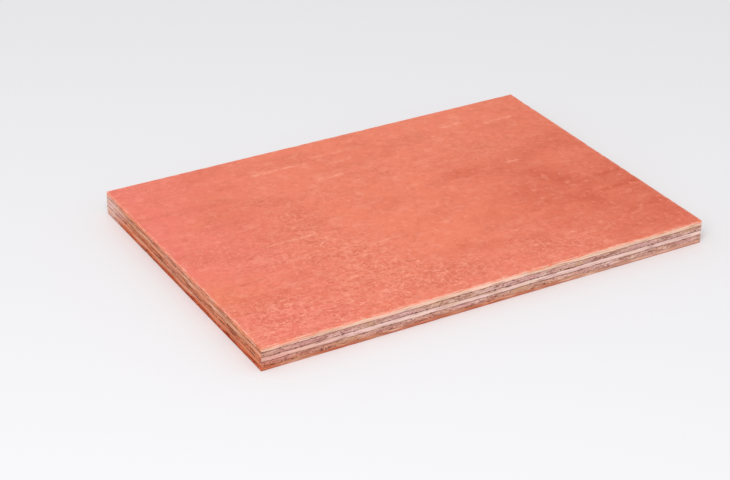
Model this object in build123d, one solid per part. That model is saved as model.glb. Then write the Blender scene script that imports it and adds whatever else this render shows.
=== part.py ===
"""A cut panel of plywood: five peeled veneers, glued crosswise and sawn square.

The panel lies flat with its stained face up. X runs along the face grain, Y across it and Z up
through the plies. The origin is at the centre of the underside.
"""

import os

from build123d import *

# Driving dimensions, in millimetres

# the sawn panel
PANEL_LENGTH = 300.0
PANEL_WIDTH = 210.0

# the veneers, from the underside up
BACK_VENEER_THICKNESS = 2.6
LOWER_CROSSBAND_THICKNESS = 3.2
CORE_VENEER_THICKNESS = 2.9
UPPER_CROSSBAND_THICKNESS = 3.2
FACE_VENEER_THICKNESS = 3.1

# the saw's sharp edges, rubbed down all round the two outer faces
ARRIS_WIDTH = 0.35

# the plies in the order that they are laid in the press, each with its thickness
LAY_UP = [
    ("back_veneer", BACK_VENEER_THICKNESS),
    ("lower_crossband", LOWER_CROSSBAND_THICKNESS),
    ("core_veneer", CORE_VENEER_THICKNESS),
    ("upper_crossband", UPPER_CROSSBAND_THICKNESS),
    ("face_veneer", FACE_VENEER_THICKNESS),
]


def sawn_veneer(thickness, underside):
    """One ply, sawn to the panel's size, with its lower face at the height underside."""
    ply = Box(PANEL_LENGTH, PANEL_WIDTH, thickness, align=(Align.CENTER, Align.CENTER, Align.MIN))
    return Pos(0, 0, underside) * ply


def rub_down(ply, outer_face):
    """The ply with the sharp edge taken off all round one of its faces."""
    rim = outer_face(ply).edges()
    return chamfer(rim, ARRIS_WIDTH)


def lowest_face(ply):
    return ply.faces().sort_by(Axis.Z).first


def highest_face(ply):
    return ply.faces().sort_by(Axis.Z).last


def lay_up_panel():
    """The plies by name, each resting on the one below it."""
    plies = {}
    underside = 0.0
    for name, thickness in LAY_UP:
        plies[name] = sawn_veneer(thickness, underside)
        underside += thickness
    plies["back_veneer"] = rub_down(plies["back_veneer"], lowest_face)
    plies["face_veneer"] = rub_down(plies["face_veneer"], highest_face)
    return plies


def write_parts(plies):
    """Each ply in a file of its own, named for the ply."""
    os.makedirs("parts", exist_ok=True)
    for name, ply in plies.items():
        export_step(ply, f"parts/{name}.step")


write_parts(lay_up_panel())
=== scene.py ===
"""A cut sheet of five-ply plywood with a red-stained face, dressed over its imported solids.

Each veneer is sawn as its own blank, cut into fine columns round its edges, and then worn: the glue
lines wander and sink, end grain tears, pits open and the outer arrises rub pale. X runs along the
face grain, Y across it and Z up through the plies.
"""

import math
import random
from typing import NamedTuple

import bmesh
import bpy
from mathutils import Euler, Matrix, Quaternion, Vector, noise


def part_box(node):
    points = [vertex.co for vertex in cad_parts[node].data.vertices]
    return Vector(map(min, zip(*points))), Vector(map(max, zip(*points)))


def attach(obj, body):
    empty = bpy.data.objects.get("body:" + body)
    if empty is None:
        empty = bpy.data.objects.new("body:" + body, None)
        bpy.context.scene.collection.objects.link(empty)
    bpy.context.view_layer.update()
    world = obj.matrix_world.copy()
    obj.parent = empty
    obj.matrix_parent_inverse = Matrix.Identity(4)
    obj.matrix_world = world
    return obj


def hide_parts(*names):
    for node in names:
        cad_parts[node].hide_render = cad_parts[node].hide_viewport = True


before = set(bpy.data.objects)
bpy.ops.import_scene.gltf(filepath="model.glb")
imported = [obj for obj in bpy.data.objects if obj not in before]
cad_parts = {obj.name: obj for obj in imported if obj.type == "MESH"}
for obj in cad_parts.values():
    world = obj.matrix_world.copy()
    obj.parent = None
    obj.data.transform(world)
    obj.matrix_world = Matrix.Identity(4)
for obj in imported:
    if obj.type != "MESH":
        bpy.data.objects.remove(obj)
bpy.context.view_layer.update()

bl_info = {
    "name": "Stained plywood sheet",
    "version": (1, 0, 0),
    "blender": (4, 5, 0),
    "location": "View3D > Sidebar > Plywood",
    "description": "Saws, glues and stains the five veneers of a plywood sheet and sets its studio",
    "category": "Add Mesh",
}

BODY = "root"
MM = 0.001

# Axes of the sheet: along the face grain, across it, and up through the plies
ALONG, ACROSS, UP = range(3)

# Places in every veneer's list of materials
LONG_EDGE, SHORT_EDGE, GLUE_FILM, STAINED_FACE, ARRIS = range(5)

# The veneers from the underside up; glue line n lies under veneer n
LAY_UP = ["back_veneer", "lower_crossband", "core_veneer", "upper_crossband", "face_veneer"]

# How dark each glue line soaks, from the underside up; the outer faces have none
GLUE_SHARES = (0.0, 0.15, 1.0, 0.8, 0.7, 0.0)

# Glue lines at least this dark show their film of glue
FILM_SHARE = 0.7

# How far a glue line lies under its nominal height at the rim, where pressing squeezed it down
GLUE_DROP = 0.12 * MM

# Lengths of a glue line's slow sway and quick shake, the shake's share, and a shift from line to line
GLUE_SWAY = 45 * MM
GLUE_SHAKE = 5 * MM
GLUE_SHAKE_SHARE = 0.5
GLUE_LINE_SHIFT = 10.0

# The four edges by axis and direction, of which the front and left show
FRONT, LEFT, REAR, RIGHT = (ACROSS, -1), (ALONG, -1), (ACROSS, 1), (ALONG, 1)

# A direction counts as along an axis when this share of it points that way
SQUARE_SHARE = 0.9

# Two places nearer than this are the same
TOUCH = 0.001 * MM

# How finely the veneers are cut along, across and up, the inner ones only round their rims
FACE_PITCHES = (1.2 * MM, 0.7 * MM, 0.36 * MM)
BAND_PITCHES = (0.5 * MM, 0.5 * MM, 0.4 * MM)
CORE_PITCHES = (0.5 * MM, 0.5 * MM, 0.36 * MM)
BACK_PITCHES = (1.5 * MM, 0.9 * MM, 0.3 * MM)

# Width of the fine border round a veneer's hidden faces
HIDDEN_BORDER = 2.0 * MM

# How far the glue's dark soaks into the wood, a little further on the left edge, and the stain down the edge
SOAK_REACH = 0.25 * MM
LEFT_SOAK_REACH = 0.26 * MM
BLEED_REACH = 0.7 * MM

# How much fainter the stain's bleed from the underside is
UNDER_BLEED_SHARE = 0.3

# How far onto the face the rubbing of its rim reaches, and chips down the edge
RUB_REACH = 0.6 * MM
CHIP_REACH = 0.5 * MM

# Small nicks and large chips of an arris: their lengths, how deep the nicks go, above which noise a chip
# breaks out and how fast it deepens, and how far a chip cuts into the edge and down from the face
NICK_LENGTH = 1.5 * MM
CHIP_LENGTH = 6 * MM
NICK_SHARE = 0.25
CHIP_NOISE = 0.25
CHIP_GAIN = 1.6
CHIP_IN_SHARE = 0.8
CHIP_DOWN_SHARE = 0.4

# How long the fibres that the saw tore are, on end grain and on long grain, and how wide
END_TEAR = 4.0 * MM
LONG_TEAR = 14.0 * MM
TEAR_WIDTH = 0.8 * MM

# How deep a tear usually is, as a share, and how far that swings
TEAR_SHARE = 0.4
TEAR_SWING_SHARE = 0.6

# How far apart small voids lie along a glue line, on average
PIT_SPACING = 18.0 * MM

# What those voids are drawn from, in millimetres
PIT_RISES = (-0.5, 0.0)
PIT_HALF_LENGTHS = (0.4, 0.9)
PIT_HALF_HEIGHTS = (0.3, 0.45)
PIT_DEPTHS = (0.3, 0.6)

# The face's nap, its rubbed rim and the stain's reach: the usual share, and its swing over each length
NAP_SHARE = 0.12
NAP_SWING_SHARES = {40 * MM: 0.24, 11 * MM: 0.22}
RUB_SHARE = 0.2
RUB_SWING_SHARES = {5 * MM: 1.3, 1.5 * MM: 0.6}
BLEED_SHARE = 0.9
BLEED_SWING_SHARES = {9 * MM: 0.8}

# The map to bake the materials through: the heights of a shown face and a hidden one on it, and the gaps
BAKE_MAP = "OFBake"
FACE_ROW = 0.66
HIDDEN_ROW = 0.02
ROW_GAP = 0.008

# What the wear leaves on each vertex for the materials to read
MARKS = (
    "soak", "bleed", "painted_bounce", "pit", "tan", "brown_and_shade", "mauve", "pale",
    "blush", "nap", "figure_and_shade", "scuff", "rub")


def linear(code):
    """The linear colour of an sRGB hex code such as 0xE8806A."""
    shares = [(code >> shift & 0xFF) / 0xFF for shift in (16, 8, 0)]
    return tuple(s / 12.92 if s <= 0.04045 else ((s + 0.055) / 1.055) ** 2.4 for s in shares)


# Marks, given in millimetres


class Pit(NamedTuple):
    """A hole broken out of an edge: its place along the edge and up it, its half sizes and depth."""

    along: float
    height: float
    half_length: float
    half_height: float
    depth: float


class Scuff(NamedTuple):
    """A pale rubbed streak on the face, along the grain."""

    x: float
    y: float
    length: float
    width: float
    strength: float


class Band(NamedTuple):
    """A soft band on the face: the points it runs through, its width to each side and its strength."""

    points: list
    width: float
    strength: float


class Bleed(NamedTuple):
    """A run of stain down an edge: its place along the edge, its half length and its reach."""

    along: float
    half_length: float
    reach: float


class PaintedBounce(NamedTuple):
    """A red tint painted up an edge as bounce light and shade from a red sheet beneath: how high it reaches,
    where along the edge it thins and is gone.

    Its strength at the foot of the edge is a share, and a share over 1 keeps it full for some way up.
    """

    reach: float
    thins: float
    gone: float
    strength: float


class Tone(NamedTuple):
    """A soft patch on an edge, mostly of other wood and low down a line of painted shade: its mark, its
    place along and up it, and its half sizes.
    """

    mark: str
    along: float
    height: float
    half_length: float
    half_height: float
    strength: float


class Grain(NamedTuple):
    """A pattern in a face's raised grain: its size along X and Y, its shift and its share of the depth."""

    along: float
    across: float
    shift: float
    share: float


# Where the stain ran furthest over the edges
BLEEDS = {
    FRONT: [
        Bleed(-142, 34, 1.0),
        Bleed(-76, 22, 0.4),
        Bleed(34, 26, 0.5),
        Bleed(112, 14, 0.3),
    ],
    LEFT: [
        Bleed(0, 200, 0.2),
        Bleed(40, 40, 0.3),
        Bleed(64, 38, 0.7),
    ],
}

# Where a red tint of painted bounce light and shade, as from a red sheet beneath, lies on the edges: low on
# every edge, and high on the left one and next to it
PAINTED_BOUNCES = {
    FRONT: [
        PaintedBounce(5.0, 20, 80, 1.0),
        PaintedBounce(14.0, -148, -80, 1.0),
    ],
    LEFT: [
        PaintedBounce(22.0, 50, 88, 1.0),
        PaintedBounce(12.0, 78, 94, 1.35),
    ],
}
PLAIN_PAINTED_BOUNCES = [PaintedBounce(5.0, 150, 300, 1.0)]

# Voids in the glue lines of the front edge, the long one a slit over the core
FRONT_PITS = [
    Pit(-149.0, 11.6, 0.7, 0.5, 0.5),
    Pit(-138.7, 8.4, 0.9, 0.5, 0.5),
    Pit(-128.4, 8.5, 0.9, 0.5, 0.5),
    Pit(-114.2, 8.5, 1.0, 0.5, 0.6),
    Pit(-99.0, 8.4, 1.2, 0.7, 0.7),
    Pit(-74.0, 8.5, 0.9, 0.5, 0.6),
    Pit(-44.6, 8.6, 1.2, 0.6, 0.7),
    Pit(10.4, 8.3, 3.1, 0.5, 1.2),
    Pit(1.0, 8.5, 1.1, 0.5, 0.5),
    Pit(25.7, 8.4, 0.9, 0.5, 0.5),
    Pit(30.7, 8.5, 1.0, 0.5, 0.6),
    Pit(49.8, 8.5, 1.4, 0.4, 0.5),
    Pit(-130.5, 2.4, 0.8, 0.5, 0.6),
    Pit(-112.2, 2.4, 0.9, 0.7, 0.7),
    Pit(-107.5, 2.4, 0.9, 0.6, 0.6),
    Pit(-67.5, 3.2, 0.8, 0.4, 0.4),
    Pit(-42.0, 5.5, 0.9, 0.5, 0.6),
]

# Slits in the glue lines of the left edge, most of them towards the front
LEFT_PITS = [
    Pit(-58.0, 11.7, 3.5, 0.30, 0.3),
    Pit(-72.0, 11.7, 2.5, 0.30, 0.3),
    Pit(-90.0, 11.7, 3.5, 0.30, 0.3),
    Pit(-43.0, 8.5, 3.5, 0.30, 0.3),
    Pit(-58.0, 8.5, 5.5, 0.35, 0.4),
    Pit(-76.0, 8.5, 2.0, 0.30, 0.3),
    Pit(-94.0, 8.5, 2.5, 0.30, 0.3),
    Pit(-8.0, 8.5, 5.0, 0.30, 0.3),
    Pit(-56.0, 5.7, 5.0, 0.30, 0.3),
    Pit(-71.0, 5.7, 3.0, 0.30, 0.3),
    Pit(-93.0, 5.7, 3.5, 0.30, 0.3),
    Pit(-26.0, 5.7, 6.0, 0.30, 0.3),
    Pit(-38.0, 2.4, 3.0, 0.35, 0.3),
    Pit(-64.0, 2.5, 3.5, 0.35, 0.4),
    Pit(-97.0, 2.4, 6.0, 0.40, 0.4),
    Pit(-20.0, 2.4, 4.0, 0.35, 0.3),
]

# Patches of yellower, browner, greyer and paler wood along the edges that show, a thin darker line along the
# front rim and a paler one along the left rim, and a brown line of painted shade along their foot
TONES = {FRONT: [
    Tone("tan", -146.0, 10.4, 4.0, 1.8, 0.7),
    Tone("mauve", -125.0, 10.4, 14.0, 2.0, 0.6),
    Tone("tan", -82.0, 10.6, 5.0, 2.0, 0.8),
    Tone("mauve", -66.0, 10.4, 12.0, 2.0, 0.5),
    Tone("tan", -38.0, 10.4, 5.0, 2.0, 0.5),
    Tone("tan", -13.0, 9.6, 6.0, 1.6, 0.5),
    Tone("mauve", 21.0, 10.6, 8.0, 2.0, 0.8),
    Tone("tan", 60.0, 10.6, 4.0, 2.0, 0.9),
    Tone("brown_and_shade", 66.0, 10.4, 3.5, 1.6, 0.3),
    Tone("mauve", 102.0, 10.4, 10.0, 2.0, 0.9),
    Tone("brown_and_shade", 119.0, 10.2, 4.0, 1.6, 0.4),
    Tone("brown_and_shade", 125.5, 10.4, 4.0, 1.8, 0.9),
    Tone("tan", 138.0, 10.8, 8.0, 1.8, 0.7),
    Tone("mauve", -139.0, 4.6, 9.0, 1.8, 0.5),
    Tone("brown_and_shade", -121.0, 4.4, 5.0, 1.6, 0.6),
    Tone("tan", -96.0, 4.0, 8.0, 1.6, 0.8),
    Tone("mauve", -72.0, 4.8, 10.0, 1.6, 0.5),
    Tone("brown_and_shade", -38.0, 3.0, 9.0, 1.4, 0.4),
    Tone("mauve", -22.0, 5.0, 9.0, 1.6, 0.9),
    Tone("brown_and_shade", 9.5, 3.8, 3.5, 1.4, 0.5),
    Tone("tan", 20.0, 4.2, 7.0, 2.0, 1.0),
    Tone("brown_and_shade", 19.0, 3.4, 4.0, 1.2, 0.3),
    Tone("mauve", 64.0, 4.4, 8.0, 1.8, 0.9),
    Tone("brown_and_shade", 94.0, 4.6, 3.0, 1.6, 0.6),
    Tone("brown_and_shade", 108.0, 4.2, 8.0, 1.8, 0.5),
    Tone("mauve", 140.0, 4.2, 8.0, 2.0, 0.6),
    # Painted shade: a brown line along the foot of the front edge
    Tone("brown_and_shade", -60.0, 0.5, 110.0, 1.2, 0.40),
    Tone("brown_and_shade", 0.0, 14.6, 200.0, 0.5, 0.22),
    Tone("brown_and_shade", -115.0, 3.0, 38.0, 3.4, 0.22),
    Tone("brown_and_shade", -112.0, 10.4, 34.0, 1.8, 0.16),
    Tone("tan", 112.0, 13.2, 40.0, 1.8, 0.35),
    Tone("pale", 112.0, 7.5, 36.0, 1.0, 0.4),
    Tone("mauve", 112.0, 1.8, 40.0, 1.2, 0.35),
], LEFT: [
    # Painted shade: a brown line along the foot of the left edge
    Tone("brown_and_shade", -40.0, 0.5, 90.0, 1.2, 0.30),
    Tone("pale", 0.0, 14.4, 200.0, 0.7, 0.25),
    Tone("pale", 0.0, 13.2, 42.0, 1.4, 0.35),
    Tone("pale", -34.0, 4.6, 60.0, 1.3, 0.4),
    Tone("pale", 102.0, 7.0, 18.0, 9.0, 0.9),
    Tone("mauve", 98.0, 10.0, 12.0, 4.0, 0.5),
    Tone("mauve", 84.0, 8.0, 10.0, 3.0, 0.6),
    Tone("tan", 62.0, 10.0, 14.0, 2.0, 0.5),
    Tone("tan", 5.0, 7.2, 34.0, 1.4, 0.35),
    Tone("brown_and_shade", 44.0, 7.2, 18.0, 1.6, 0.2),
    Tone("mauve", 6.0, 7.6, 10.0, 1.6, 0.5),
    Tone("tan", -22.0, 5.0, 14.0, 2.0, 0.5),
    Tone("tan", -64.0, 10.4, 16.0, 1.6, 0.5),
]}

# Streaks and spots where the face was rubbed pale
SCUFFS = [
    Scuff(-43, 79.8, 34, 2.2, 0.70),
    Scuff(-57, 79.6, 6, 3.0, 0.7),
    Scuff(-18, 55.6, 12, 3.4, 0.6),
    Scuff(-5, 84.5, 22, 1.8, 0.50),
    Scuff(-4, 72.0, 16, 1.4, 0.40),
    Scuff(87, 82.5, 9, 3.0, 0.6),
    Scuff(73, 73.5, 9, 2.2, 0.55),
    Scuff(122, 75.6, 20, 2.4, 0.5),
    Scuff(67, 70.0, 12, 1.4, 0.3),
    Scuff(-79, -6.3, 30, 2.0, 0.48),
    Scuff(-33, -32.6, 28, 2.0, 0.40),
    Scuff(-139, -93.5, 16, 1.4, 0.5),
    Scuff(-140, -98.7, 16, 1.2, 0.5),
    Scuff(-76, -85.0, 52, 1.4, 0.35),
    Scuff(-60, -68.0, 36, 1.6, 0.4),
    Scuff(-69, -62.0, 6, 2.2, 0.7),
    Scuff(94, 19.0, 5, 2.0, 0.6),
    Scuff(51, -92.0, 7, 2.0, 0.35),
    Scuff(141, -30.0, 3, 1.6, 0.5),
    Scuff(82, -33.0, 1, 2.0, 0.3),
    Scuff(67, -31.0, 2, 1.8, 0.5),
    Scuff(45, -60.0, 1, 2.0, 0.5),
    Scuff(74, -78.0, 1, 2.0, 0.6),
    Scuff(45, -81.0, 1, 2.0, 0.5),
    Scuff(95, -76.0, 1, 1.8, 0.4),
    Scuff(129, -70.0, 2, 1.6, 0.4),
]

# Darker bands of the grain's figure, and painted shade darkening the right end where the light falls off
FIGURES_AND_SHADE = [
    Band([(54, 20), (64, 18), (86, 11), (96, -2), (107, -15), (110, -32), (109, -49)], 10.0, 0.28),
    Band([(55, 20), (64, 18)], 7.0, 0.18),
    Band([(97, -2), (108, -18)], 8.0, 0.20),
    Band([(108, 22), (123, 29), (140, 25)], 9.0, 0.28),
    Band([(98, -42), (109, -50), (115, -59)], 6.0, 0.18),
    Band([(121, -24), (150, -23)], 2.2, 0.40),
    Band([(123, -42), (150, -40)], 2.4, 0.40),
    Band([(118, -71), (150, -69)], 3.0, 0.25),
    Band([(6, -65), (31, -69), (54, -76)], 6.0, 0.25),
    Band([(10, 69), (29, 68)], 7.0, 0.16),
    # Deeper stain at the right end, darkened further as painted shade where the light falls off
    Band([(92, -28), (150, -42)], 48.0, 0.42),
    # Painted shade all along the right end, where the light falls off
    Band([(150, 80), (150, -100)], 28.0, 0.22),
    Band([(76, -30), (78, -62)], 16.0, 0.20),
    Band([(104, -88), (150, -86)], 16.0, 0.30),
    Band([(78, 44), (140, 42)], 16.0, 0.12),
    Band([(-82, 4), (-60, 12)], 14.0, 0.16),
    Band([(-100, 92), (-100, 10)], 16.0, 0.10),
    Band([(-105, 40), (-85, 42)], 12.0, 0.18),
    Band([(-129, -40), (-114, -39)], 1.2, 0.55),
    Band([(-137, -57), (-108, -58)], 4.0, 0.30),
]

# Pinker stain towards the left end and along the front
BLUSHES = [
    Band([(-150, 95), (-150, -50)], 72.0, 0.95),
    Band([(-110, -98), (60, -100)], 26.0, 0.40),
    Band([(95, -90), (140, -98)], 22.0, 0.30),
]

# Where the wiped fibres stand roughest
ROUGH_PATCHES = [
    Band([(-150, -82), (-62, -86)], 40.0, 0.60),
    Band([(-104, -12), (-52, -34)], 26.0, 0.40),
    Band([(-72, 48), (-62, 2)], 14.0, 0.38),
    Band([(-10, -88), (70, -94)], 24.0, 0.40),
    Band([(144, -28), (144, -96)], 12.0, 0.40),
    Band([(90, -80), (120, -85)], 18.0, 0.25),
]

# The raised grain: waves across the sheet, fine fibres and pores, the noise that opens a pore, and the
# usual depth as a share
WAVES = Grain(10, 55, 3.0, 0.2)
FIBRES = Grain(6, 2.6, 5.0, 0.25)
PORES = Grain(5, 1.4, 9.0, 0.6)
PORE_NOISE = 0.25
GRAIN_SHARE = 0.3


# What a user may change


def size_setting(name, description, usual, most, least=0.0):
    """A small length that a user may change, given in millimetres."""
    return bpy.props.FloatProperty(
        name=name, description=description, default=usual * MM, min=least * MM, max=most * MM, unit="LENGTH")


def colour_setting(name, description, code):
    """A colour that a user may change, given as an sRGB hex code."""
    return bpy.props.FloatVectorProperty(
        name=name, description=description, default=linear(code), min=0.0, max=1.0, subtype="COLOR")


class SheetSizes(bpy.types.PropertyGroup):
    """Sizes of the sawing and wear on the sheet."""

    arris: size_setting("Arris", "Width of the rubbed edge round both faces", 0.35, most=1.0, least=0.05)
    chip: size_setting("Chips", "Depth of the largest chips along the arris", 0.32, most=0.6)
    corner: size_setting("Corner wear", "How far the four upright corners are worn back", 0.25, most=0.5)
    glue_wander: size_setting("Glue line wander", "How far a glue line strays from straight", 0.17, most=0.6)
    glue_groove: size_setting("Glue groove", "How deep the brittle glue is broken out", 0.18, most=0.5)
    end_tear: size_setting("End grain tear", "Depth of the torn fibres on end grain", 0.18, most=0.5)
    long_tear: size_setting("Long grain tear", "Depth of the lifted fibres on long grain", 0.10, most=0.5)
    face_relief: size_setting("Face relief", "Depth of the raised grain on both faces", 0.08, most=0.4)


class SheetColours(bpy.types.PropertyGroup):
    """Colours of the wood, the stain and the glue."""

    stain: colour_setting("Stain", "Red stain where it lies evenly", 0xEE7E5E)
    stain_pink: colour_setting("Pink stain", "Stain where the wood beneath is paler", 0xEF7867)
    # Deep stain also paints the shade where the light falls off towards the right end, and along the
    # underside's arris
    stain_deep_and_shade: colour_setting("Deep stain", "Stain in the softer, thirstier grain", 0xCF5736)
    stain_pale: colour_setting("Pale stain", "Stain on raised fibres, where it is rubbed thin", 0xFFA98D)
    nap_shade: colour_setting("Nap shade", "Stain in the hollows between raised fibres", 0xC45434)
    nap_light: colour_setting("Nap light", "Stain on the tops of raised fibres", 0xFFA48C)
    face_wood: colour_setting("Face wood", "Bare long grain of the face veneer", 0xF6C9B4)
    core_wood: colour_setting("Core wood", "Bare long grain of the pale core veneer", 0xEDC8C3)
    back_wood: colour_setting("Back wood", "Bare long grain of the back veneer", 0xC89078)
    band_wood: colour_setting("Crossband long grain", "Bare long grain of the crossbands", 0xE5A98B)
    band_end: colour_setting("Crossband end grain", "Sawn end grain of the upper crossband", 0xD2A19B)
    low_band_end: colour_setting("Lower end grain", "Browner end grain of the lower crossband", 0xD19D8B)
    outer_end: colour_setting("End grain", "Sawn end grain of the face veneer and the core", 0xEAA279)
    back_end: colour_setting("Back end grain", "Sawn end grain of the back veneer", 0xC6805C)
    cream: colour_setting("Cream", "Palest sapwood, in streaks and torn tufts", 0xF6DAC6)
    tan: colour_setting("Tan", "Yellower wood, in patches on the edges", 0xCBA07E)
    mauve: colour_setting("Mauve", "Pinker, greyer wood, in patches on the edges", 0xCF9C9C)
    # This brown also paints the line of painted shade along the foot of the long edges, and patches of
    # painted shade on the underside's arris
    bark_and_shade: colour_setting("Brown", "Brown of open pores and checks", 0x8C5443)
    # This redder brown also paints the line of painted shade along the foot of the short edges
    rust_and_shade: colour_setting("Rust", "Redder brown of the pores and checks on the short edges", 0x96502F)
    glue: colour_setting("Glue", "Dark phenolic glue between the veneers", 0x763F36)
    umber: colour_setting("Umber", "Redder dark of the glue's soak on the short edges", 0x7E3D26)
    # The wash is painted bounce light and shade: the red tint that a red sheet beneath would cast up the
    # edges
    painted_bounce: colour_setting("PaintedBounce", "Tint that a thin wash of stain gives the wood under it", 0xEAA07C)
    # Painted shade at the bottom of the pits, where the voids lie in shadow
    pit_shade: colour_setting("Dirt", "Dark dust at the bottom of the pits", 0x4A2119)


class StageSettings(bpy.types.PropertyGroup):
    """The camera, floor and lights."""

    azimuth: bpy.props.FloatProperty(
        name="Azimuth", description="Camera's turn round the sheet, 0 looking along +Y",
        default=math.radians(-29.955), subtype="ANGLE")
    elevation: bpy.props.FloatProperty(
        name="Elevation", description="Camera's height above the horizon",
        default=math.radians(28.756), subtype="ANGLE")
    roll: bpy.props.FloatProperty(
        name="Roll", description="Camera's small turn about its own axis",
        default=math.radians(0.4556), subtype="ANGLE")
    distance: bpy.props.FloatProperty(
        name="Distance", description="Camera's distance from the point it aims at",
        default=1187.3 * MM, min=0.1, unit="LENGTH")
    aim: bpy.props.FloatVectorProperty(
        name="Aim", description="The point that the camera looks at",
        default=(-33.87 * MM, -15.21 * MM, 7.5 * MM), subtype="XYZ", unit="LENGTH")
    lens: bpy.props.FloatProperty(
        name="Lens", description="Focal length in millimetres on a 36 mm wide sensor",
        default=97.477, min=10.0, max=300.0)
    floor: colour_setting("Floor", "Matt studio floor", 0xF0EFF1)
    dome: bpy.props.FloatProperty(
        name="Dome", description="Strength of the even light from all round", default=0.66, min=0.0)
    key: bpy.props.FloatProperty(
        name="Key", description="Power of the large soft lamp", default=30.0, min=0.0, unit="POWER")
    key_size: bpy.props.FloatProperty(
        name="Key size", description="Width of the large soft lamp", default=1.4, min=0.1, unit="LENGTH")
    key_place: bpy.props.FloatVectorProperty(
        name="Key place", description="Where the large soft lamp hangs",
        default=(-1.1, -1.3, 1.6), subtype="XYZ", unit="LENGTH")


class PlywoodSettings(bpy.types.PropertyGroup):
    """All settings of the sheet and its studio."""

    sizes: bpy.props.PointerProperty(name="Sizes", description="Sawing and wear", type=SheetSizes)
    colours: bpy.props.PointerProperty(name="Colours", description="Wood and stain", type=SheetColours)
    stage: bpy.props.PointerProperty(name="Stage", description="Studio", type=StageSettings)


# Node trees


def add_node(tree, kind, inputs=None, output=None, **settings):
    """Adds one node with its settings, feeds its inputs with values or links, and returns an output."""
    node = tree.nodes.new(kind)
    for name, value in settings.items():
        setattr(node, name, value)
    for key, value in (inputs or {}).items():
        named = [s for s in node.inputs if s.name == key and s.enabled]
        socket = named[0] if named else node.inputs[key]
        if isinstance(value, bpy.types.NodeSocket):
            tree.links.new(value, socket)
        else:
            socket.default_value = value
    if output:
        return node.outputs[output]
    return next((s for s in node.outputs if s.enabled), None)


def opaque(rgb):
    """A colour with its alpha, as colour sockets take it."""
    return (*rgb, 1.0)


class Coat(NamedTuple):
    """A colour laid over what is under it in soft patches.

    The patch is their size along X, Y and Z in millimetres. The colour comes in where the noise passes
    from low to high, as a share up to the most, and with a mark only where the wear left that mark. A
    clear coat multiplies what is under it, as a thin stain does, and any other covers it. A twist stirs
    the noise, so that fine flecks come out uneven.
    """

    colour: tuple
    patch: tuple
    low: float
    high: float
    most: float = 1.0
    mark: str = ""
    clear: bool = False
    twist: float = 0.0


# Patterns of one material are read this far apart, so that they don't line up
PATTERN_SHIFT = 1.7

# How finely the noise of the patterns and of the grit is broken up
PATTERN_DETAIL = 2.0
GRIT_DETAIL = 3.0

# The grit's noise lies mostly between these
GRIT_LOW, GRIT_HIGH = 0.3, 0.7

# Wood, stain and glue bend light about alike
WOOD_IOR = 1.5


def coated(name, base, coats, seed, roughness, grit, depth, sheen):
    """A material built up from its base colour in coats, with its roughness range and a fine bump.

    The grit is the bump's size along X, Y and Z in millimetres, and the depth is in metres. The sheen is
    the shader's specular level: 0.5 for a sealed surface, less for raw wood, whose pores swallow light.
    """
    material = bpy.data.materials.new(name)
    material.use_nodes = True
    tree = material.node_tree
    tree.nodes.clear()
    place = add_node(tree, "ShaderNodeTexCoord", output="Object")
    colour = opaque(base)
    for number, coat in enumerate(coats):
        shift = PATTERN_SHIFT * (seed + number)
        stretched = add_node(tree, "ShaderNodeMapping", {
            "Vector": place, "Location": (shift, shift, shift),
            "Scale": [length * MM for length in coat.patch]}, vector_type="TEXTURE")
        patches = add_node(tree, "ShaderNodeTexNoise", {
            "Vector": stretched, "Scale": 1.0, "Detail": PATTERN_DETAIL, "Distortion": coat.twist})
        share = add_node(tree, "ShaderNodeMapRange", {
            "Value": patches, "From Min": coat.low, "From Max": coat.high, "To Max": coat.most},
            interpolation_type="SMOOTHSTEP")
        if coat.mark:
            mark = add_node(tree, "ShaderNodeAttribute", output="Fac", attribute_name=coat.mark)
            share = add_node(tree, "ShaderNodeMath", {0: share, 1: mark}, operation="MULTIPLY")
        colour = add_node(tree, "ShaderNodeMix", {
            "Factor": share, "A": colour, "B": opaque(coat.colour)},
            data_type="RGBA", blend_type="MULTIPLY" if coat.clear else "MIX")
    gritty = add_node(tree, "ShaderNodeMapping", {
        "Vector": place, "Scale": [length * MM for length in grit]}, vector_type="TEXTURE")
    height = add_node(tree, "ShaderNodeTexNoise", {"Vector": gritty, "Scale": 1.0, "Detail": GRIT_DETAIL})
    bump = add_node(tree, "ShaderNodeBump", {"Height": height, "Strength": 1.0, "Distance": depth})
    rough = add_node(tree, "ShaderNodeMapRange", {
        "Value": height, "From Min": GRIT_LOW, "From Max": GRIT_HIGH,
        "To Min": roughness[0], "To Max": roughness[1]})
    shader = add_node(tree, "ShaderNodeBsdfPrincipled", {
        "Base Color": colour, "Roughness": rough, "IOR": WOOD_IOR, "Specular IOR Level": sheen,
        "Normal": bump})
    add_node(tree, "ShaderNodeOutputMaterial", {"Surface": shader})
    return material


# Materials


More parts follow.
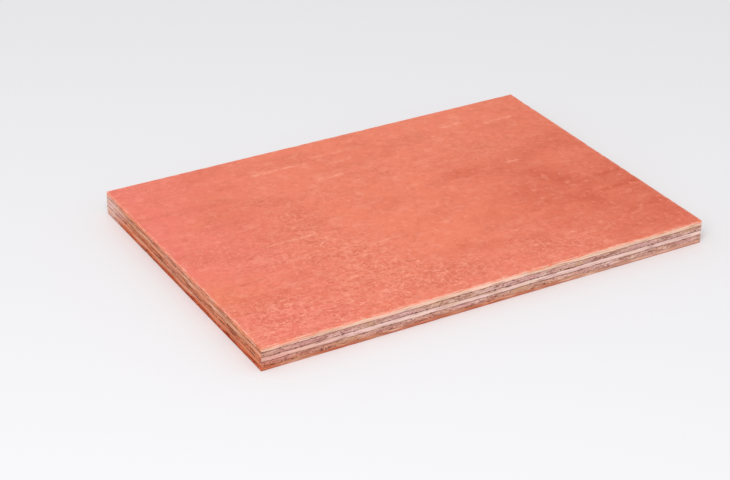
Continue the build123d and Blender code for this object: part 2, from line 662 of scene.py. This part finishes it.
def stained_veneer(name, colours, seed):
    """Rotary-cut hardwood, sanded and wiped with a thin red stain.

    It looks like a soft salmon that drifts between pink and orange, mottled, with short dark pores and
    pale raised fibres. The pores and fibres are drawn a few times coarser than real, so that they show.
    """
    return coated(name, colours.stain, [
        Coat(colours.stain_pink, (50, 30, 30), 0.25, 0.55, 1.0, "blush"),
        Coat(colours.nap_shade, (26, 13, 13), 0.55, 0.30, 0.21),
        Coat(colours.nap_light, (10, 8, 8), 0.52, 0.75, 0.28),
        Coat(colours.nap_shade, (4.5, 4.8, 4.8), 0.52, 0.72, 0.19),
        Coat(colours.nap_light, (4.0, 4.4, 4.4), 0.54, 0.74, 0.25),
        Coat(colours.nap_shade, (12, 1.8, 1.8), 0.54, 0.74, 0.08),
        Coat(colours.nap_shade, (30, 20, 20), 0.0, 0.45, 0.17, "nap"),
        Coat(colours.nap_shade, (9, 6, 6), 0.48, 0.70, 0.30, "nap"),
        Coat(colours.nap_light, (8, 5, 5), 0.50, 0.72, 0.40, "nap"),
        Coat(colours.nap_shade, (3.2, 1.8, 1.8), 0.46, 0.70, 0.64, "nap", twist=0.8),
        Coat(colours.nap_light, (3.6, 1.6, 1.6), 0.49, 0.69, 0.60, "nap", twist=0.8),
        Coat(colours.nap_light, (1.6, 3.4, 3.4), 0.50, 0.70, 0.60, "nap", twist=0.8),
        Coat(colours.stain_pale, (3.4, 2.4, 2.4), 0.62, 0.74, 0.9, "nap"),
        Coat(colours.stain_pale, (3.0, 2.4, 2.4), 0.66, 0.78, 0.5),
        # Deep stain of the figure, and painted shade towards the right end
        Coat(colours.stain_deep_and_shade, (26, 12, 12), 0.0, 0.52, 1.0, "figure_and_shade"),
        Coat(colours.stain_deep_and_shade, (4.5, 4.0, 4.0), 0.49, 0.69, 0.8, "figure_and_shade"),
        Coat(colours.nap_light, (4.6, 4.2, 4.2), 0.54, 0.72, 0.36, "figure_and_shade"),
        Coat(colours.stain_pale, (4.0, 2.0, 2.0), 0.38, 0.60, 1.0, "scuff"),
        Coat(colours.cream, (2.4, 1.4, 1.4), 0.50, 0.70, 0.15, "scuff"),
        Coat(colours.face_wood, (2.0, 2.0, 2.0), 0.3, 0.5, 0.8, "rub"),
    ], seed, roughness=(0.55, 0.75), grit=(1.6, 0.7, 0.7), depth=0.03 * MM, sheen=0.5)


def edge_wear(colours, brown_and_shade, dark):
    """The last coats of every sawn edge: patches of other wood, with a line of painted shade along the foot,
    the glue's soak, the stain, a red tint of painted bounce light and shade, and painted shade in the pits.
    """
    return [
        Coat(colours.tan, (5.0, 5.0, 2.0), 0.20, 0.60, 0.9, "tan"),
        Coat(colours.mauve, (5.0, 5.0, 2.0), 0.20, 0.60, 0.9, "mauve"),
        Coat(colours.core_wood, (5.0, 5.0, 2.0), 0.20, 0.60, 0.9, "pale"),
        # Patches of browner wood, and a brown line of painted shade along the foot of the front and left
        # edges
        Coat(brown_and_shade, (4.0, 4.0, 1.5), 0.20, 0.65, 0.8, "brown_and_shade"),
        Coat(dark, (6.0, 6.0, 1.5), 0.34, 0.58, 1.0, "soak"),
        # Painted red bounce light and shade up the edges, multiplied over the wood
        Coat(colours.painted_bounce, (20, 20, 3.0), 0.10, 0.55, 1.0, "painted_bounce", clear=True),
        Coat(colours.stain, (3.0, 3.0, 1.0), 0.25, 0.55, 1.0, "bleed"),
        # Painted shade at the bottom of the pits
        Coat(colours.pit_shade, (1.0, 1.0, 1.0), 0.0, 0.3, 1.0, "pit"),
    ]


class Streaks(NamedTuple):
    """The saw's streaks on an edge: their length and width in millimetres, and how strong the dark ones are.

    The names of the brown and the dark colours of that edge come last; the brown also paints the line of
    painted shade along the foot.
    """

    length: float
    width: float
    dark_share: float
    brown_and_shade: str
    dark: str


# The streaks of the long edges, short and faint, and of the short edges, long, clear and redder
STREAKS = {ALONG: Streaks(14.0, 0.9, 0.6, "bark_and_shade", "glue"), ACROSS: Streaks(20.0, 1.0, 1.0, "rust_and_shade", "umber")}


def stretched_along(run, length, width):
    """A patch size that is long on one axis and narrow on the others."""
    return tuple(length if axis == run else width for axis in range(3))


def sawn_along(name, wood, run, colours, seed):
    """Hardwood sawn along its fibres: pale and silky, with cream streaks and fine dark pore lines.

    The streaks are drawn about twice as coarse as real, so that they show.
    """
    length, width, dark_share, *darks = STREAKS[run]
    brown_and_shade, dark = (getattr(colours, each) for each in darks)
    return coated(name, wood, [
        Coat(colours.tan, (28, 28, 4), 0.48, 0.66, 0.60),
        Coat(colours.cream, stretched_along(run, length, 1.2 * width), 0.48, 0.66, 0.60),
        Coat(colours.tan, stretched_along(run, 2 * length, width), 0.50, 0.66, 0.45),
        Coat(brown_and_shade, stretched_along(run, length, width), 0.56, 0.70, dark_share),
        *edge_wear(colours, brown_and_shade, dark),
    ], seed, roughness=(0.65, 0.85), grit=stretched_along(run, 4, 0.4), depth=0.08 * MM, sheen=0.2)


def sawn_across(name, wood, pale, run, colours, seed):
    """Hardwood sawn across its fibres: darker and rough, with open pores, torn tufts and saw streaks.

    The pores are drawn about three times as coarse as real, so that they show.
    """
    length, width, dark_share, *darks = STREAKS[run]
    brown_and_shade, dark = (getattr(colours, each) for each in darks)
    return coated(name, wood, [
        Coat(colours.tan, (26, 26, 4), 0.48, 0.66, 0.60),
        Coat(pale, (17, 17, 3), 0.48, 0.66, 0.60),
        Coat(brown_and_shade, (14, 14, 2.0), 0.54, 0.72, 0.50),
        Coat(brown_and_shade, stretched_along(run, length, width), 0.50, 0.64, dark_share),
        Coat(dark, stretched_along(run, length / 2, width), 0.58, 0.66, dark_share),
        Coat(colours.cream, stretched_along(run, length / 2, width), 0.54, 0.70, 0.55),
        Coat(colours.cream, (1.6, 1.6, 1.0), 0.56, 0.70, 0.50),
        Coat(brown_and_shade, (1.5, 1.5, 1.0), 0.54, 0.68, 0.75),
        Coat(dark, (1.7, 1.7, 1.1), 0.62, 0.70, 0.95),
        *edge_wear(colours, brown_and_shade, dark),
    ], seed, roughness=(0.75, 0.95), grit=(0.8, 0.8, 0.6), depth=0.10 * MM, sheen=0.15)


def phenolic_glue(name, colours):
    """Cured phenolic glue, sawn through: a thin dark line, dull from the saw, with paler clots."""
    return coated(name, colours.glue, [
        Coat(colours.bark_and_shade, (2.0, 2.0, 0.6), 0.40, 0.60),
        Coat(colours.tan, (3.5, 3.5, 1.0), 0.48, 0.64, 0.7),
        # Painted red bounce light and shade up the edges, multiplied over the glue
        Coat(colours.painted_bounce, (20, 20, 3.0), 0.10, 0.55, 1.0, "painted_bounce", clear=True),
        # Painted shade at the bottom of the voids in the glue
        Coat(colours.pit_shade, (1.0, 1.0, 1.0), 0.0, 0.3, 1.0, "pit"),
    ], seed=21.0, roughness=(0.60, 0.80), grit=(1.0, 1.0, 0.5), depth=0.08 * MM, sheen=0.2)


def rubbed_arris(name, stain, worn, bare, colours):
    """The stained veneer's sharp edge, rubbed: stain with patches of bare wood where it wore through."""
    return coated(name, stain, [
        Coat(worn, (8, 8, 2), 0.36, 0.56, 0.65),
        Coat(bare, (5, 5, 2), 0.48, 0.62, 0.60),
        Coat(colours.cream, (2.5, 2.5, 2), 0.56, 0.70, 0.3),
        Coat(colours.nap_shade, (3, 3, 2), 0.46, 0.66, 0.30),
    ], seed=27.0, roughness=(0.65, 0.85), grit=(1.2, 1.2, 0.6), depth=0.08 * MM, sheen=0.3)


# Sawing and wearing the veneers


class Veneer:
    """One veneer: its node's box, the glue lines on its two sides and the face that shows.

    Shown is 1 for a stained top, -1 for a stained underside and 0 for a veneer inside the sheet.
    """

    def __init__(self, node, shown=0):
        self.node = node
        self.shown = shown
        self.low, self.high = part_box(node)
        self.line_below = LAY_UP.index(node)
        self.line_above = self.line_below + 1
        self.glue_below = GLUE_SHARES[self.line_below]
        self.glue_above = GLUE_SHARES[self.line_above]
        self.grain = ACROSS if "crossband" in node else ALONG
        self.surface = self.high.z if shown > 0 else self.low.z


def edges_along(blank, axis):
    """The blank's long edges that run along one axis."""
    found = []
    for edge in blank.edges:
        run = edge.verts[1].co - edge.verts[0].co
        if abs(run[axis]) > SQUARE_SHARE * run.length:
            found.append(edge)
    longest = max(edge.calc_length() for edge in found)
    return [edge for edge in found if edge.calc_length() > longest / 2]


def cut_columns(blank, axis, pitch):
    """Divides the blank's edges along an axis into equal steps of about the pitch."""
    edges = edges_along(blank, axis)
    steps = round(edges[0].calc_length() / pitch)
    bmesh.ops.subdivide_edges(blank, edges=edges, cuts=max(steps - 1, 0), use_grid_fill=True)


def sawn_blank(veneer, pitches, arris):
    """A veneer's blank in its node's box: faces marked, shown arrises rubbed, fine columns cut."""
    blank = bmesh.new()
    bmesh.ops.create_cube(blank, size=1.0)
    bmesh.ops.scale(blank, vec=veneer.high - veneer.low, verts=blank.verts)
    bmesh.ops.translate(blank, vec=(veneer.low + veneer.high) / 2, verts=blank.verts)
    rim, hidden = set(), []
    for face in blank.faces:
        if abs(face.normal[ALONG]) > SQUARE_SHARE:
            face.material_index = SHORT_EDGE
        elif abs(face.normal[ACROSS]) > SQUARE_SHARE:
            face.material_index = LONG_EDGE
        elif face.normal[UP] * veneer.shown > SQUARE_SHARE:
            face.material_index = STAINED_FACE
            rim.update(face.edges)
        else:
            face.material_index = GLUE_FILM
            hidden.append(face)
    bmesh.ops.inset_individual(blank, faces=hidden, thickness=HIDDEN_BORDER, use_even_offset=True)
    bmesh.ops.delete(blank, geom=hidden, context="FACES_ONLY")
    if rim:
        bmesh.ops.bevel(
            blank, geom=list(rim), offset=arris, offset_type="OFFSET", affect="EDGES", segments=2,
            profile=0.5, material=-1)
    blank.normal_update()
    for face in blank.faces:
        if SQUARE_SHARE > abs(face.normal[UP]) > 1 - SQUARE_SHARE:
            face.material_index = ARRIS
    for axis, pitch in enumerate(pitches):
        cut_columns(blank, axis, pitch)
    blank.normal_update()
    return blank


def mark_glue(blank, veneer):
    """Gives the row of faces beside each of the darkest glue lines to the glue."""
    for face in blank.faces:
        if face.material_index in (LONG_EDGE, SHORT_EDGE):
            heights = [vertex.co.z for vertex in face.verts]
            at_bottom = veneer.glue_below >= FILM_SHARE and min(heights) < veneer.low.z + TOUCH
            at_top = veneer.glue_above >= FILM_SHARE and max(heights) > veneer.high.z - TOUCH
            if at_bottom or at_top:
                face.material_index = GLUE_FILM


def wander(line, place, reach):
    """How far a glue line strays upwards at a place on the rim. The sheet's outer faces stay true."""
    if line in (0, len(LAY_UP)):
        return 0.0
    plan = Vector((place.x, place.y, 0.0))
    apart = Vector((0.0, 0.0, GLUE_LINE_SHIFT * line))
    slow = noise.noise(plan / GLUE_SWAY + apart)
    quick = noise.noise(plan / GLUE_SHAKE + apart)
    return reach * (slow + GLUE_SHAKE_SHARE * quick) - GLUE_DROP


def torn(place, run, across, sizes):
    """How deep the saw tore the fibres at a place on an edge, sawn along the fibres or across them."""
    stretched = place / TEAR_WIDTH
    stretched[run] = place[run] / (END_TEAR if across else LONG_TEAR)
    depth = sizes.end_tear if across else sizes.long_tear
    return depth * max(TEAR_SHARE + TEAR_SWING_SHARE * noise.noise(stretched), 0.0)


def chipped(place, chip):
    """How far the arris is chipped back at a place: mostly a little, here and there a lot."""
    small = NICK_SHARE * abs(noise.noise(place / NICK_LENGTH))
    large = max(noise.noise(place / CHIP_LENGTH) - CHIP_NOISE, 0.0)
    return chip * min(small + CHIP_GAIN * large, 1.0)


def scattered_pits(run_half, seed):
    """Voids broken out here and there along the four glue lines of one edge."""
    draw = random.Random(seed)
    pits = []
    for node in LAY_UP[1:]:
        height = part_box(node)[0].z / MM
        for _ in range(round(2 * run_half / PIT_SPACING)):
            pits.append(Pit(
                along=draw.uniform(-run_half, run_half) / MM, height=height + draw.uniform(*PIT_RISES),
                half_length=draw.uniform(*PIT_HALF_LENGTHS), half_height=draw.uniform(*PIT_HALF_HEIGHTS),
                depth=draw.uniform(*PIT_DEPTHS)))
    return pits


def pit_at(pits, along, height):
    """The share and the depth of the deepest pit at a place on an edge."""
    best = (0.0, 0.0)
    for pit in pits:
        sideways = abs(along / MM - pit.along) / pit.half_length
        upright = abs(height / MM - pit.height) / pit.half_height
        share = 1.0 - sideways ** 2 - upright ** 2
        if share > 0.0:
            best = max(best, (share, share * pit.depth * MM))
    return best


def segment_distance(place, start, end):
    """The distance from a place to a straight segment."""
    run = end - start
    share = min(max((place - start).dot(run) / run.length_squared, 0.0), 1.0)
    return (place - start - share * run).length


def banded(place, bands):
    """How strong the bands are together at a place on the face."""
    spot = place.xy / MM
    found = 0.0
    for band in bands:
        points = [Vector(point) for point in band.points]
        nearest = min(segment_distance(spot, a, b) for a, b in zip(points, points[1:]))
        found += band.strength * math.exp(-((nearest / band.width) ** 2))
    return min(found, 1.0)


def swung(place, share, swing_shares):
    """A share that swings with the noise at a place, by so much over each length."""
    for length, swing_share in swing_shares.items():
        share += swing_share * noise.noise(place / length)
    return share


def nap_at(place, shown):
    """How rough the wiped fibres stand at a place, as a share: smooth here, rougher there."""
    rough = banded(place, ROUGH_PATCHES) if shown > 0 else 0.0
    return min(max(swung(place, NAP_SHARE + rough, NAP_SWING_SHARES), 0.0), 1.0)


def bleed_reach(along, place, bleeds):
    """How far the stain ran down an edge at a place: everywhere a little, further in its runs."""
    reach = BLEED_REACH * swung(place, BLEED_SHARE, BLEED_SWING_SHARES)
    for bleed in bleeds:
        reach += bleed.reach * MM * math.exp(-(((along / MM - bleed.along) / bleed.half_length) ** 2))
    return reach


def painted_bounce_at(side, along, height):
    """How strong the strongest painted bounce light and shade is at a place on an edge."""
    found = 0.0
    for painted_bounce in PAINTED_BOUNCES.get(side, PLAIN_PAINTED_BOUNCES):
        sideways = (painted_bounce.gone - along / MM) / (painted_bounce.gone - painted_bounce.thins)
        upright = painted_bounce.strength * (1.0 - height / MM / painted_bounce.reach)
        found = max(found, min(max(sideways, 0.0), 1.0) * min(max(upright, 0.0), 1.0))
    return found


def tones_at(side, along, height):
    """How strong each mark of other wood, and of painted shade along the foot, is at a place on an edge."""
    found = {}
    for tone in TONES.get(side, []):
        sideways = (along / MM - tone.along) / tone.half_length
        upright = (height / MM - tone.height) / tone.half_height
        strength = tone.strength * math.exp(-sideways ** 2 - upright ** 2)
        found[tone.mark] = max(found.get(tone.mark, 0.0), strength)
    return found


def scuff_at(place):
    """How strongly the face is scuffed at a place."""
    found = 0.0
    for scuff in SCUFFS:
        beyond = max(abs(place.x / MM - scuff.x) - scuff.length / 2, 0.0) / scuff.width
        across = (place.y / MM - scuff.y) / (scuff.width / 2)
        found = max(found, scuff.strength * math.exp(-across * across - beyond * beyond))
    return found


def rub_at(place, border):
    """How bare the face is rubbed at a distance from its border, in uneven patches."""
    patch = swung(place, RUB_SHARE, RUB_SWING_SHARES)
    return min(max(patch, 0.0), 1.0) * math.exp(-border / RUB_REACH)


def grain_noise(place, grain, shown):
    """The noise of one pattern of the raised grain at a place on a face."""
    x, y = place.xy / MM
    return noise.noise(Vector((x / grain.along, y / grain.across, grain.shift * shown)))


def raised_grain(place, shown):
    """How deep a face lies under its highest fibres, as a share: waves, fine fibres and pores."""
    share = GRAIN_SHARE
    share += WAVES.share * grain_noise(place, WAVES, shown)
    share += FIBRES.share * grain_noise(place, FIBRES, shown)
    share += PORES.share * max(grain_noise(place, PORES, shown) - PORE_NOISE, 0.0)
    return min(max(share, 0.0), 1.0)


def wear_edge(vertex, veneer, sizes, layers, pits, sides):
    """Moves a vertex of the sawn edge to its wandering ply and tears, pits or chips it inwards."""
    place = vertex.co.copy()
    low = veneer.low.z + (sizes.arris if veneer.shown < 0 else 0.0)
    high = veneer.high.z - (sizes.arris if veneer.shown > 0 else 0.0)
    # Rows bunch towards the glue lines, so that the glue is a thin film
    rise = (1.0 - math.cos(math.pi * (place.z - low) / (high - low))) / 2
    below = wander(veneer.line_below, place, sizes.glue_wander)
    above = wander(veneer.line_above, place, sizes.glue_wander)
    vertex.co.z = low + rise * (high - low) + (1.0 - rise) * below + rise * above
    from_glue = {rise * (high - low): veneer.glue_below, (1.0 - rise) * (high - low): veneer.glue_above}
    from_face = abs(vertex.co.z - veneer.surface) if veneer.shown else math.inf
    worn = chipped(place, sizes.chip) * math.exp(-from_face / CHIP_REACH)
    if from_glue.get(0.0, 0.0) >= FILM_SHARE:
        worn += sizes.glue_groove
    if len(sides) > 1:
        worn += sizes.corner
    for axis in sides:
        side = (axis, math.copysign(1, place[axis]))
        run = ACROSS if axis == ALONG else ALONG
        share, hollow = pit_at(pits[side], place[run], vertex.co.z)
        bleeds = BLEEDS.get(side, []) if veneer.shown > 0 else []
        reach = bleed_reach(place[run], place, bleeds)
        soak_reach = LEFT_SOAK_REACH if side == LEFT else SOAK_REACH
        bled = math.exp(-((from_face / reach) ** 2))
        found = {
            "pit": share, "bleed": bled if veneer.shown > 0 else UNDER_BLEED_SHARE * bled,
            # Painted red bounce light and shade, strongest low on the edges and on the left
            "painted_bounce": painted_bounce_at(side, place[run], vertex.co.z),
            "soak": max(glue * math.exp(-gap / soak_reach) for gap, glue in from_glue.items()),
            **tones_at(side, place[run], vertex.co.z)}
        for name, strength in found.items():
            vertex[layers[name]] = max(vertex[layers[name]], strength)
        inwards = worn + hollow + torn(vertex.co, run, veneer.grain != run, sizes)
        vertex.co[axis] -= math.copysign(inwards, place[axis])


def wear_face(vertex, veneer, sizes, layers):
    """Lowers a vertex of a stained face or its arris into the grain, and chips it near the border."""
    place = vertex.co.copy()
    borders = [veneer.high[axis] - abs(place[axis]) for axis in (ALONG, ACROSS)]
    border = min(borders)
    if border < sizes.arris + TOUCH:
        chip = chipped(place, sizes.chip)
        for axis in (ALONG, ACROSS):
            if borders[axis] < sizes.arris + TOUCH:
                vertex.co[axis] -= math.copysign(CHIP_IN_SHARE * chip, place[axis])
        vertex.co.z -= veneer.shown * CHIP_DOWN_SHARE * chip
    vertex[layers["rub"]] = rub_at(place, max(border - sizes.arris, 0.0))
    if abs(place.z - veneer.surface) < TOUCH:
        vertex.co.z -= veneer.shown * sizes.face_relief * raised_grain(place, veneer.shown)
        vertex[layers["nap"]] = nap_at(place, veneer.shown)
        if veneer.shown > 0:
            vertex[layers["blush"]] = banded(place, BLUSHES)
            # The figure's bands and the painted shade towards the right end
            vertex[layers["figure_and_shade"]] = banded(place, FIGURES_AND_SHADE)
            vertex[layers["scuff"]] = scuff_at(place)


def wear_veneer(blank, veneer, sizes):
    """Moves every vertex of the blank inwards to where sawing, glue and handling left it, and marks it."""
    layers = {name: blank.verts.layers.float.new(name) for name in MARKS}
    pits = {
        FRONT: scattered_pits(veneer.high.x, seed=1) + FRONT_PITS,
        REAR: scattered_pits(veneer.high.x, seed=2),
        LEFT: scattered_pits(veneer.high.y, seed=3) + LEFT_PITS,
        RIGHT: scattered_pits(veneer.high.y, seed=4)}
    for vertex in blank.verts:
        near_face = veneer.shown and abs(vertex.co.z - veneer.surface) < sizes.arris - TOUCH
        sides = [axis for axis in (ALONG, ACROSS) if veneer.high[axis] - abs(vertex.co[axis]) < TOUCH]
        if near_face:
            wear_face(vertex, veneer, sizes, layers)
        elif sides:
            wear_edge(vertex, veneer, sizes, layers, pits, sides)


def map_rows(shown):
    """Where each side of a veneer lies on its map, as the lowest and highest share of the map's height."""
    heights = {(UP, way): FACE_ROW if way == shown else HIDDEN_ROW for way in (1, -1)}
    edges = (FRONT, LEFT, REAR, RIGHT)
    edge_row = (1.0 - sum(heights.values())) / len(edges)
    heights.update({side: edge_row for side in edges})
    rows, low = {}, 0.0
    for side, height in heights.items():
        rows[side] = (low + ROW_GAP / 2, low + height - ROW_GAP / 2)
        low += height
    return rows


def lay_on_map(faces, veneer, layer):
    """Lays faces on the veneer's map: the shown face in plan, and each edge as a strip stretched in height.

    The stretch keeps the fine lines of the edges when the materials are baked through the map.
    """
    rows = map_rows(veneer.shown)
    size = veneer.high - veneer.low
    for face in faces:
        axis = max(range(3), key=lambda each: abs(face.normal[each]))
        low, high = rows[axis, math.copysign(1, face.normal[axis])]
        run = ACROSS if axis == ALONG else ALONG
        rise = ACROSS if axis == UP else UP
        for corner in face.loops:
            shares = [(corner.vert.co[each] - veneer.low[each]) / size[each] for each in (run, rise)]
            corner[layer].uv = (shares[0], low + (high - low) * shares[1])


def make_veneer(veneer, pitches, materials):
    """Saws and wears one veneer and puts it in place of its node."""
    sizes = bpy.context.scene.plywood.sizes
    blank = sawn_blank(veneer, pitches, sizes.arris)
    layer = blank.loops.layers.uv.new(BAKE_MAP)
    lay_on_map(blank.faces, veneer, layer)
    mark_glue(blank, veneer)
    wear_veneer(blank, veneer, sizes)
    open_edges = [edge for edge in blank.edges if edge.is_boundary]
    filled = bmesh.ops.holes_fill(blank, edges=open_edges, sides=0)
    bmesh.ops.recalc_face_normals(blank, faces=blank.faces)
    for face in filled["faces"]:
        face.material_index = GLUE_FILM
    lay_on_map(filled["faces"], veneer, layer)
    mesh = bpy.data.meshes.new(f"{veneer.node}_sawn")
    blank.to_mesh(mesh)
    blank.free()
    for material in materials:
        mesh.materials.append(material)
    piece = bpy.data.objects.new(f"{veneer.node}_sawn", mesh)
    bpy.context.scene.collection.objects.link(piece)
    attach(piece, BODY)
    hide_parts(veneer.node)


# Laying the veneers


class PLYWOOD_OT_face_veneer(bpy.types.Operator):
    """Lays the stained face veneer"""

    bl_idname = "plywood.face_veneer"
    bl_label = "Lay face veneer"

    def execute(self, context):
        colours = context.scene.plywood.colours
        make_veneer(Veneer("face_veneer", shown=1), FACE_PITCHES, [
            sawn_along("face_wood_sawn_along", colours.face_wood, ALONG, colours, seed=1.0),
            sawn_across(
                "face_wood_sawn_across", colours.outer_end, colours.band_wood, ACROSS, colours, seed=2.0),
            phenolic_glue("phenolic_glue_line", colours),
            stained_veneer("face_wood_red_stain_sanded", colours, seed=0.0),
            rubbed_arris(
                "face_wood_rubbed_arris", colours.stain, colours.stain_pale, colours.face_wood, colours)])
        return {"FINISHED"}


class PLYWOOD_OT_crossbands(bpy.types.Operator):
    """Lays the two crossbands, whose end grain shows on the long edges"""

    bl_idname = "plywood.crossbands"
    bl_label = "Lay crossbands"

    def execute(self, context):
        colours = context.scene.plywood.colours
        ends = {"upper_crossband": colours.band_end, "lower_crossband": colours.low_band_end}
        seeds = {"upper_crossband": (31, 41), "lower_crossband": (32, 42)}
        for node, end in ends.items():
            across_seed, along_seed = seeds[node]
            make_veneer(Veneer(node), BAND_PITCHES, [
                sawn_across(f"{node}_sawn_across", end, colours.core_wood, ALONG, colours, across_seed),
                sawn_along(f"{node}_sawn_along", colours.band_wood, ACROSS, colours, along_seed),
                phenolic_glue("phenolic_glue_line", colours)])
        return {"FINISHED"}


class PLYWOOD_OT_core_veneer(bpy.types.Operator):
    """Lays the pale core veneer"""

    bl_idname = "plywood.core_veneer"
    bl_label = "Lay core veneer"

    def execute(self, context):
        colours = context.scene.plywood.colours
        make_veneer(Veneer("core_veneer"), CORE_PITCHES, [
            sawn_along("core_wood_sawn_along", colours.core_wood, ALONG, colours, seed=5.0),
            sawn_across(
                "core_wood_sawn_across", colours.outer_end, colours.band_wood, ACROSS, colours, seed=6.0),
            phenolic_glue("phenolic_glue_line", colours)])
        return {"FINISHED"}


class PLYWOOD_OT_back_veneer(bpy.types.Operator):
    """Lays the stained back veneer"""

    bl_idname = "plywood.back_veneer"
    bl_label = "Lay back veneer"

    def execute(self, context):
        colours = context.scene.plywood.colours
        make_veneer(Veneer("back_veneer", shown=-1), BACK_PITCHES, [
            sawn_along("back_wood_sawn_along", colours.back_wood, ALONG, colours, seed=7.0),
            sawn_across(
                "back_wood_sawn_across", colours.back_end, colours.outer_end, ACROSS, colours, seed=8.0),
            phenolic_glue("phenolic_glue_line", colours),
            stained_veneer("back_wood_red_stain_sanded", colours, seed=50.0),
            # The underside's arris, in deep stain with brown patches, is painted shade along the bottom
            # where the sheet meets the floor, over the rubbed stain and bare wood
            rubbed_arris(
                "back_wood_rubbed_arris_painted_shade", colours.stain_deep_and_shade, colours.bark_and_shade, colours.back_wood, colours)])
        return {"FINISHED"}


# The studio


# The floor's sides and radius in metres, and how far it lies under the sheet
FLOOR_SIDES = 96
FLOOR_RADIUS = 8.0
FLOOR_DROP = 0.02 * MM

# The width in millimetres of the sensor that the lens is given for
SENSOR_WIDTH = 36.0


def lay_floor(scene, stage):
    """A broad matt floor just under the sheet."""
    outline = bmesh.new()
    bmesh.ops.create_circle(outline, cap_ends=True, segments=FLOOR_SIDES, radius=FLOOR_RADIUS)
    bmesh.ops.translate(outline, vec=(0, 0, -FLOOR_DROP), verts=outline.verts)
    mesh = bpy.data.meshes.new("studio_floor")
    outline.to_mesh(mesh)
    outline.free()
    material = bpy.data.materials.new("studio_floor_matt_paper")
    material.use_nodes = True
    tree = material.node_tree
    tree.nodes.clear()
    shader = add_node(tree, "ShaderNodeBsdfDiffuse", {"Color": opaque(stage.floor)})
    add_node(tree, "ShaderNodeOutputMaterial", {"Surface": shader})
    mesh.materials.append(material)
    floor = bpy.data.objects.new("studio_floor", mesh)
    scene.collection.objects.link(floor)


def light_dome(scene, stage):
    """Even light from all round, which the camera and reflections see as the floor's own white."""
    world = bpy.data.worlds.new("studio_dome")
    world.use_nodes = True
    tree = world.node_tree
    tree.nodes.clear()
    camera_ray = add_node(tree, "ShaderNodeLightPath", output="Is Camera Ray")
    glossy_ray = add_node(tree, "ShaderNodeLightPath", output="Is Glossy Ray")
    seen = add_node(tree, "ShaderNodeMath", {0: camera_ray, 1: glossy_ray}, operation="MAXIMUM")
    light = add_node(tree, "ShaderNodeBackground", {"Color": (1, 1, 1, 1), "Strength": stage.dome})
    backdrop = add_node(tree, "ShaderNodeBackground", {"Color": opaque(stage.floor), "Strength": 1.0})
    both = add_node(tree, "ShaderNodeMixShader", {0: seen, 1: light, 2: backdrop})
    add_node(tree, "ShaderNodeOutputWorld", {"Surface": both})
    scene.world = world


def hang_lamp(scene, name, power, size, place):
    """A large square lamp that faces the sheet."""
    lamp = bpy.data.lights.new(name, "AREA")
    lamp.energy = power
    lamp.size = size
    holder = bpy.data.objects.new(name, lamp)
    holder.location = place
    holder.rotation_euler = (-place).to_track_quat("-Z", "Y").to_euler()
    scene.collection.objects.link(holder)


def set_camera(scene, stage):
    """The camera at the photograph's angle."""
    camera = bpy.data.cameras.new("camera")
    camera.sensor_width = SENSOR_WIDTH
    camera.lens = stage.lens
    turned = Euler((math.pi / 2 - stage.elevation, 0.0, stage.azimuth)).to_quaternion()
    turned = turned @ Quaternion((0.0, 0.0, 1.0), stage.roll)
    holder = bpy.data.objects.new("camera", camera)
    holder.location = Vector(stage.aim) + turned @ Vector((0.0, 0.0, stage.distance))
    holder.rotation_euler = turned.to_euler()
    scene.collection.objects.link(holder)
    scene.camera = holder


class PLYWOOD_OT_stage(bpy.types.Operator):
    """Sets the floor, the lights and the camera"""

    bl_idname = "plywood.stage"
    bl_label = "Set stage"

    def execute(self, context):
        scene = context.scene
        stage = scene.plywood.stage
        scene.view_settings.view_transform = "Standard"
        lay_floor(scene, stage)
        light_dome(scene, stage)
        hang_lamp(scene, "key_lamp", stage.key, stage.key_size, Vector(stage.key_place))
        set_camera(scene, stage)
        return {"FINISHED"}


# The sidebar and the run


class PLYWOOD_PT_panel(bpy.types.Panel):
    """Lists the sheet's pieces and settings"""

    bl_idname = "PLYWOOD_PT_panel"
    bl_label = "Plywood sheet"
    bl_space_type = "VIEW_3D"
    bl_region_type = "UI"
    bl_category = "Plywood"

    def draw(self, context):
        settings = context.scene.plywood
        for operator in OPERATORS:
            self.layout.operator(operator.bl_idname)
        for group in (settings.sizes, settings.colours, settings.stage):
            box = self.layout.box()
            for name in group.__annotations__:
                box.prop(group, name)


OPERATORS = [
    PLYWOOD_OT_face_veneer, PLYWOOD_OT_crossbands, PLYWOOD_OT_core_veneer, PLYWOOD_OT_back_veneer,
    PLYWOOD_OT_stage]
CLASSES = [SheetSizes, SheetColours, StageSettings, PlywoodSettings, *OPERATORS, PLYWOOD_PT_panel]


def register():
    """Adds the classes and gives each scene its settings."""
    for each in CLASSES:
        bpy.utils.register_class(each)
    bpy.types.Scene.plywood = bpy.props.PointerProperty(
        name="Plywood", description="The plywood sheet's settings", type=PlywoodSettings)


def unregister():
    """Takes the settings and the classes away again."""
    del bpy.types.Scene.plywood
    for each in reversed(CLASSES):
        bpy.utils.unregister_class(each)


def main():
    """Makes every piece and the stage."""
    register()
    bpy.ops.plywood.face_veneer()
    bpy.ops.plywood.crossbands()
    bpy.ops.plywood.core_veneer()
    bpy.ops.plywood.back_veneer()
    bpy.ops.plywood.stage()


if __name__ == "__main__":
    main()
